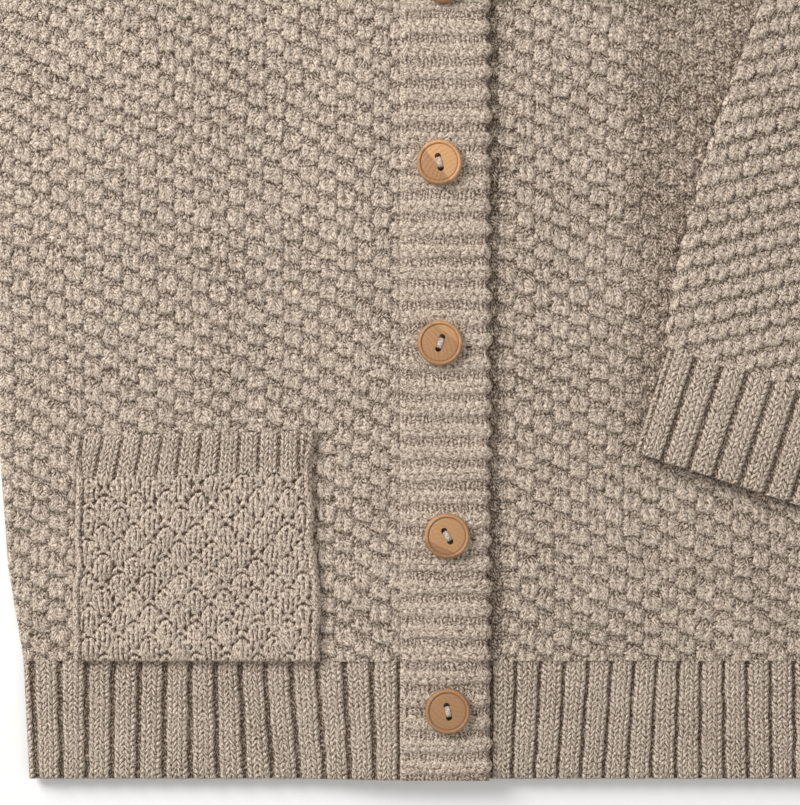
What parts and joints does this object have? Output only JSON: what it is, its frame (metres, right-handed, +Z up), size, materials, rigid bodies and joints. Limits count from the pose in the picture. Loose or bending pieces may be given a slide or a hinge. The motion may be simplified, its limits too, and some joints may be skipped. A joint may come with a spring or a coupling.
{
  "type": "baby cardigan",
  "caption": "Knitted baby cardigan laid flat, buttoned down the front, with a patch pocket, ribbed hem and cuffs, and one sleeve folded over the front.",
  "frame": {"origin": "on the flat underside of the back panel, on the centre line, 165 mm above the hem's lower edge", "axes": "+Z up off the surface it lies on, +Y from hem to neck, +X to the wearer's left"},
  "size_m": [0.449, 0.3406, 0.0135],
  "materials": {
    "yarn": "matt knitted yarn, oatmeal beige",
    "wood": "oiled orange brown wood with fine grain"
  },
  "bodies": {
    "root": {"back": "yarn", "back_hem_rib": "yarn", "right_front": "yarn", "left_front": "yarn", "right_hem_rib": "yarn", "left_hem_rib": "yarn", "buttonhole_band": "yarn", "button_band": "yarn", "pocket": "yarn", "pocket_rib": "yarn", "right_sleeve": "yarn", "right_cuff": "yarn", "left_sleeve": "yarn", "left_cuff": "yarn", "neckband": "yarn", "button_1": "wood", "button_2": "wood", "button_3": "wood", "button_4": "wood", "button_5": "wood"}
  },
  "joints": []
}
